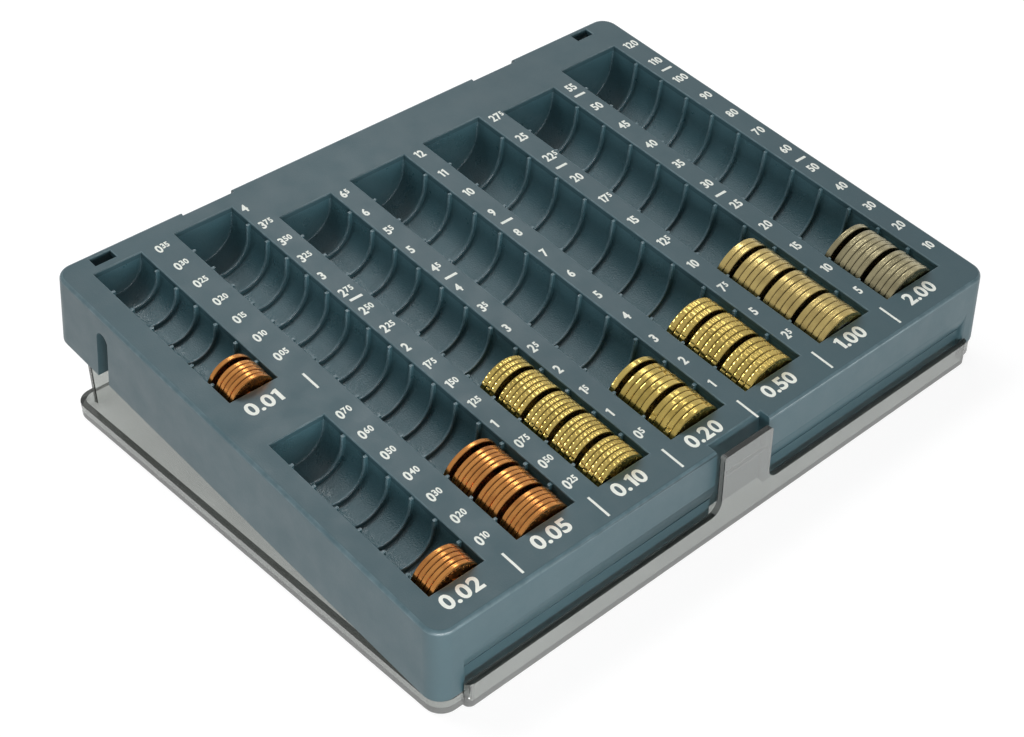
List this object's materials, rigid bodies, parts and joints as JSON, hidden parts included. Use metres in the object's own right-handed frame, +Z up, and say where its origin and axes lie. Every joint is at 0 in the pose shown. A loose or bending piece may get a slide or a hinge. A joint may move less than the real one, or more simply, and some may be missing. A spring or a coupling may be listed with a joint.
{
  "type": "coin counting tray",
  "caption": "Sloped coin counting tray with ribbed troughs sized for each coin, standing on its own smoked see-through lid, coins on edge in the front cells.",
  "frame": {"origin": "middle of the whole object's footprint, on the plane the lid rests on", "axes": "+X to the right along the width, +Y to the raised back, +Z up"},
  "size_m": [0.24, 0.1832, 0.0566],
  "materials": {
    "smoked_plastic": "clear smoked gloss",
    "tray_plastic": "satin moulded",
    "copper_coin": "worn copper plating",
    "golden_coin": "worn golden alloy",
    "two_tone_coin": "worn two tone alloy"
  },
  "bodies": {
    "lid": {"lid": "smoked_plastic"},
    "tray": {"tray_shell": "tray_plastic", "trough_1": "tray_plastic", "trough_2": "tray_plastic", "trough_5": "tray_plastic", "trough_10": "tray_plastic", "trough_20": "tray_plastic", "trough_50": "tray_plastic", "trough_100": "tray_plastic", "trough_200": "tray_plastic"},
    "coins_1_cell_1": {"coins_1_cell_1": "copper_coin"},
    "coins_1_cell_2": {"coins_1_cell_2": "copper_coin"},
    "coins_2_cell_1": {"coins_2_cell_1": "copper_coin"},
    "coins_5_cell_1": {"coins_5_cell_1": "copper_coin"},
    "coins_5_cell_2": {"coins_5_cell_2": "copper_coin"},
    "coins_5_cell_3": {"coins_5_cell_3": "copper_coin"},
    "coins_5_cell_4": {"coins_5_cell_4": "copper_coin"},
    "coins_10_cell_1": {"coins_10_cell_1": "golden_coin"},
    "coins_10_cell_2": {"coins_10_cell_2": "golden_coin"},
    "coins_10_cell_3": {"coins_10_cell_3": "golden_coin"},
    "coins_10_cell_4": {"coins_10_cell_4": "golden_coin"},
    "coins_10_cell_5": {"coins_10_cell_5": "golden_coin"},
    "coins_20_cell_1": {"coins_20_cell_1": "golden_coin"},
    "coins_20_cell_2": {"coins_20_cell_2": "golden_coin"},
    "coins_20_cell_3": {"coins_20_cell_3": "golden_coin"},
    "coins_50_cell_1": {"coins_50_cell_1": "golden_coin"},
    "coins_50_cell_2": {"coins_50_cell_2": "golden_coin"},
    "coins_50_cell_3": {"coins_50_cell_3": "golden_coin"},
    "coins_100_cell_1": {"coins_100_cell_1": "two_tone_coin"},
    "coins_100_cell_2": {"coins_100_cell_2": "two_tone_coin"},
    "coins_100_cell_3": {"coins_100_cell_3": "two_tone_coin"},
    "coins_100_cell_4": {"coins_100_cell_4": "two_tone_coin"},
    "coins_200_cell_1": {"coins_200_cell_1": "two_tone_coin"},
    "coins_200_cell_2": {"coins_200_cell_2": "two_tone_coin"},
    "coins_200_cell_3": {"coins_200_cell_3": "two_tone_coin"}
  },
  "joints": [
    {"name": "tray_lift", "type": "slide", "parent": "lid", "child": "tray", "axis": [0, 0, 1], "range_m": [0, 0.06]},
    {"name": "coins_1_cell_1_lift", "type": "slide", "parent": "tray", "child": "coins_1_cell_1", "axis": [0, -0.1392, 0.9903], "range_m": [0, 0.04]},
    {"name": "coins_1_cell_2_lift", "type": "slide", "parent": "tray", "child": "coins_1_cell_2", "axis": [0, -0.1392, 0.9903], "range_m": [0, 0.04]},
    {"name": "coins_2_cell_1_lift", "type": "slide", "parent": "tray", "child": "coins_2_cell_1", "axis": [0, -0.1392, 0.9903], "range_m": [0, 0.04]},
    {"name": "coins_5_cell_1_lift", "type": "slide", "parent": "tray", "child": "coins_5_cell_1", "axis": [0, -0.1392, 0.9903], "range_m": [0, 0.04]},
    {"name": "coins_5_cell_2_lift", "type": "slide", "parent": "tray", "child": "coins_5_cell_2", "axis": [0, -0.1392, 0.9903], "range_m": [0, 0.04]},
    {"name": "coins_5_cell_3_lift", "type": "slide", "parent": "tray", "child": "coins_5_cell_3", "axis": [0, -0.1392, 0.9903], "range_m": [0, 0.04]},
    {"name": "coins_5_cell_4_lift", "type": "slide", "parent": "tray", "child": "coins_5_cell_4", "axis": [0, -0.1392, 0.9903], "range_m": [0, 0.04]},
    {"name": "coins_10_cell_1_lift", "type": "slide", "parent": "tray", "child": "coins_10_cell_1", "axis": [0, -0.1392, 0.9903], "range_m": [0, 0.04]},
    {"name": "coins_10_cell_2_lift", "type": "slide", "parent": "tray", "child": "coins_10_cell_2", "axis": [0, -0.1392, 0.9903], "range_m": [0, 0.04]},
    {"name": "coins_10_cell_3_lift", "type": "slide", "parent": "tray", "child": "coins_10_cell_3", "axis": [0, -0.1392, 0.9903], "range_m": [0, 0.04]},
    {"name": "coins_10_cell_4_lift", "type": "slide", "parent": "tray", "child": "coins_10_cell_4", "axis": [0, -0.1392, 0.9903], "range_m": [0, 0.04]},
    {"name": "coins_10_cell_5_lift", "type": "slide", "parent": "tray", "child": "coins_10_cell_5", "axis": [0, -0.1392, 0.9903], "range_m": [0, 0.04]},
    {"name": "coins_20_cell_1_lift", "type": "slide", "parent": "tray", "child": "coins_20_cell_1", "axis": [0, -0.1392, 0.9903], "range_m": [0, 0.04]},
    {"name": "coins_20_cell_2_lift", "type": "slide", "parent": "tray", "child": "coins_20_cell_2", "axis": [0, -0.1392, 0.9903], "range_m": [0, 0.04]},
    {"name": "coins_20_cell_3_lift", "type": "slide", "parent": "tray", "child": "coins_20_cell_3", "axis": [0, -0.1392, 0.9903], "range_m": [0, 0.04]},
    {"name": "coins_50_cell_1_lift", "type": "slide", "parent": "tray", "child": "coins_50_cell_1", "axis": [0, -0.1392, 0.9903], "range_m": [0, 0.04]},
    {"name": "coins_50_cell_2_lift", "type": "slide", "parent": "tray", "child": "coins_50_cell_2", "axis": [0, -0.1392, 0.9903], "range_m": [0, 0.04]},
    {"name": "coins_50_cell_3_lift", "type": "slide", "parent": "tray", "child": "coins_50_cell_3", "axis": [0, -0.1392, 0.9903], "range_m": [0, 0.04]},
    {"name": "coins_100_cell_1_lift", "type": "slide", "parent": "tray", "child": "coins_100_cell_1", "axis": [0, -0.1392, 0.9903], "range_m": [0, 0.04]},
    {"name": "coins_100_cell_2_lift", "type": "slide", "parent": "tray", "child": "coins_100_cell_2", "axis": [0, -0.1392, 0.9903], "range_m": [0, 0.04]},
    {"name": "coins_100_cell_3_lift", "type": "slide", "parent": "tray", "child": "coins_100_cell_3", "axis": [0, -0.1392, 0.9903], "range_m": [0, 0.04]},
    {"name": "coins_100_cell_4_lift", "type": "slide", "parent": "tray", "child": "coins_100_cell_4", "axis": [0, -0.1392, 0.9903], "range_m": [0, 0.04]},
    {"name": "coins_200_cell_1_lift", "type": "slide", "parent": "tray", "child": "coins_200_cell_1", "axis": [0, -0.1392, 0.9903], "range_m": [0, 0.04]},
    {"name": "coins_200_cell_2_lift", "type": "slide", "parent": "tray", "child": "coins_200_cell_2", "axis": [0, -0.1392, 0.9903], "range_m": [0, 0.04]},
    {"name": "coins_200_cell_3_lift", "type": "slide", "parent": "tray", "child": "coins_200_cell_3", "axis": [0, -0.1392, 0.9903], "range_m": [0, 0.04]}
  ]
}
